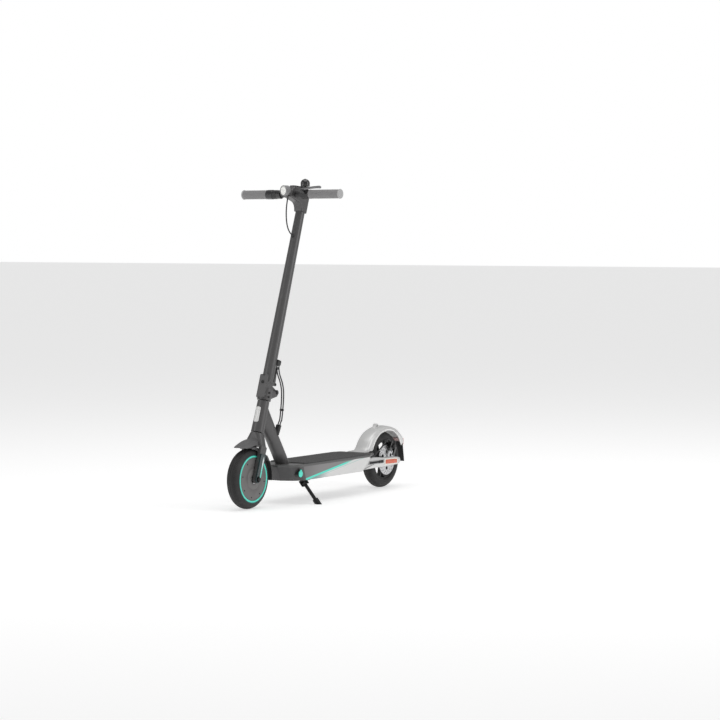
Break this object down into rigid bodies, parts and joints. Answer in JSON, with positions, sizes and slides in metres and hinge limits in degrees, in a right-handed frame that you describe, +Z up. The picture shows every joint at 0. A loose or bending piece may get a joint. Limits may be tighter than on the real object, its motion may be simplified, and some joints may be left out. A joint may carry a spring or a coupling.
{
  "type": "electric kick scooter",
  "caption": "Folding two-wheeled electric kick scooter with a hub-motor front wheel, a slim battery deck, a tall stem with a straight bar, a rear disc brake and a side stand.",
  "frame": {"origin": "on the ground, on the centre plane, halfway along the overall length", "axes": "+X is the way it rides, +Y is the rider's left, +Z is up; at rest it stands on both tyres and the side stand with the stem upright and the bar straight"},
  "size_m": [1.13, 0.43, 1.18],
  "materials": {
    "tyre": "matt black with a moulded tread",
    "hub_paint": "satin dark grey",
    "steel": "turned and ground",
    "dark_steel": "black oxide",
    "frame_paint": "satin dark grey powder coat",
    "teal_plastic": "dark with a turquoise stripe",
    "grey_plastic": "satin",
    "rubber": "matt",
    "latch_metal": "satin",
    "gloss_black": "polished",
    "lamp_grey": "satin",
    "clear_lens": "clear, moulded",
    "black_metal": "satin black",
    "grip_rubber": "matt grey with a fine pattern",
    "black_plastic": "fine texture",
    "lever_metal": "dark anodised",
    "cable_black": "smooth outer",
    "deck_paint": "satin, fading to silver at the rear",
    "nose_plastic": "satin",
    "mat_rubber": "ribbed",
    "battery_wrap": "shrink wrap",
    "controller_alloy": "sand cast",
    "turquoise": "matt",
    "arm_metal": "satin casting",
    "silver_plastic": "silver metallic",
    "reflector": "prismatic",
    "red_lens": "translucent"
  },
  "bodies": {
    "frame": {"head_tube": "frame_paint", "headset_bearings": "steel", "down_tube": "frame_paint", "frame_grommet": "rubber", "deck_shell": "deck_paint", "nose_block": "nose_plastic", "deck_mat": "mat_rubber", "bottom_cover": "black_plastic", "battery_pack": "battery_wrap", "motor_controller": "controller_alloy", "charging_port": "black_plastic", "rear_arms": "arm_metal", "arm_covers": "silver_plastic", "reflectors": "reflector", "rear_axle": "dark_steel", "brake_calliper": "black_metal", "rear_brake_cable": "cable_black", "rear_fender": "silver_plastic", "tail_light": "red_lens", "rear_flap": "rubber", "stand_bracket": "black_metal", "lower_cable_lower": "cable_black"},
    "cap": {"port_cap": "turquoise"},
    "stand": {"kickstand": "black_metal"},
    "rear_wheel": {"rear_rim": "hub_paint", "rear_tyre": "tyre", "rear_bearings": "steel", "brake_disc": "steel"},
    "calliper_lever": {"calliper_arm": "black_metal"},
    "steering": {"fork": "frame_paint", "fork_covers": "teal_plastic", "front_fender": "grey_plastic", "front_flap": "rubber", "front_axle": "dark_steel", "motor_stator": "steel", "fold_base": "frame_paint", "fold_fasteners": "dark_steel"},
    "front_wheel": {"front_tyre": "tyre", "motor_shell": "hub_paint", "motor_cover": "hub_paint", "front_bearings": "steel"},
    "stem": {"stem_foot": "frame_paint", "stem_tube": "frame_paint", "stem_head": "frame_paint", "dashboard": "gloss_black", "headlight_housing": "lamp_grey", "headlight_lens": "clear_lens", "handlebar": "black_metal", "grips": "grip_rubber", "brake_bracket": "black_plastic", "bell_dome": "gloss_black", "throttle_housing": "black_plastic", "pivot_pins": "dark_steel", "upper_cable": "cable_black", "lower_cable_upper": "cable_black"},
    "latch": {"latch_lever": "latch_metal"},
    "lever": {"brake_lever": "lever_metal"},
    "striker": {"bell_striker": "black_plastic"},
    "throttle": {"throttle_paddle": "black_plastic"},
    "button": {"power_button": "gloss_black"}
  },
  "joints": [
    {"name": "steer", "type": "hinge", "parent": "frame", "child": "steering", "pos_m": [0.37739, 0, 0.32384], "axis": [-0.3256, 0, 0.9455], "range_deg": [-60, 60], "deforming": ["lower_cable_lower"]},
    {"name": "front_spin", "type": "hinge", "parent": "steering", "child": "front_wheel", "pos_m": [0.457, 0, 0.108], "axis": [0, 1, 0], "continuous": true},
    {"name": "rear_spin", "type": "hinge", "parent": "frame", "child": "rear_wheel", "pos_m": [-0.423, 0, 0.108], "axis": [0, 1, 0], "continuous": true},
    {"name": "stem_fold", "type": "hinge", "parent": "steering", "child": "stem", "pos_m": [0.30193, 0, 0.40785], "axis": [0, -1, 0], "range_deg": [0, 82], "deforming": ["lower_cable_upper"]},
    {"name": "latch_open", "type": "hinge", "parent": "stem", "child": "latch", "pos_m": [0.3026, 0, 0.43663], "axis": [0, -1, 0], "range_deg": [0, 55]},
    {"name": "brake_pull", "type": "hinge", "parent": "stem", "child": "lever", "pos_m": [0.20428, 0.064, 1.14022], "axis": [-0.5446, 0, 0.8387], "range_deg": [0, 12], "stiffness_Nm_per_rad": 1.2, "springref_deg": -6},
    {"name": "calliper_pull", "type": "hinge", "parent": "frame", "child": "calliper_lever", "pos_m": [-0.44929, 0.042, 0.15745], "axis": [0, 1, 0], "range_deg": [0, 12], "stiffness_Nm_per_rad": 0.2, "springref_deg": -6},
    {"name": "bell_flick", "type": "hinge", "parent": "stem", "child": "striker", "pos_m": [0.17912, 0.06, 1.15], "axis": [0, 0, 1], "range_deg": [0, 25], "stiffness_Nm_per_rad": 0.01, "springref_deg": -10},
    {"name": "throttle_press", "type": "hinge", "parent": "stem", "child": "throttle", "pos_m": [0.17912, -0.07, 1.12388], "axis": [0, -1, 0], "range_deg": [0, 35], "stiffness_Nm_per_rad": 0.05, "springref_deg": -20},
    {"name": "power_press", "type": "slide", "parent": "stem", "child": "button", "axis": [0.0865, 0, -0.9962], "range_m": [0, 0.001], "stiffness_N_per_m": 400, "springref_m": -0.001},
    {"name": "stand_fold", "type": "hinge", "parent": "frame", "child": "stand", "pos_m": [0.195, 0.066, 0.073], "axis": [0, 0.766, 0.6428], "range_deg": [0, 88]},
    {"name": "cap_open", "type": "hinge", "parent": "frame", "child": "cap", "pos_m": [0.254, 0.0903, 0.127], "axis": [1, 0, 0], "range_deg": [0, 100]}
  ],
  "couplings": [
    {"joint": "calliper_pull", "follows": "brake_pull", "ratio": 1}
  ]
}
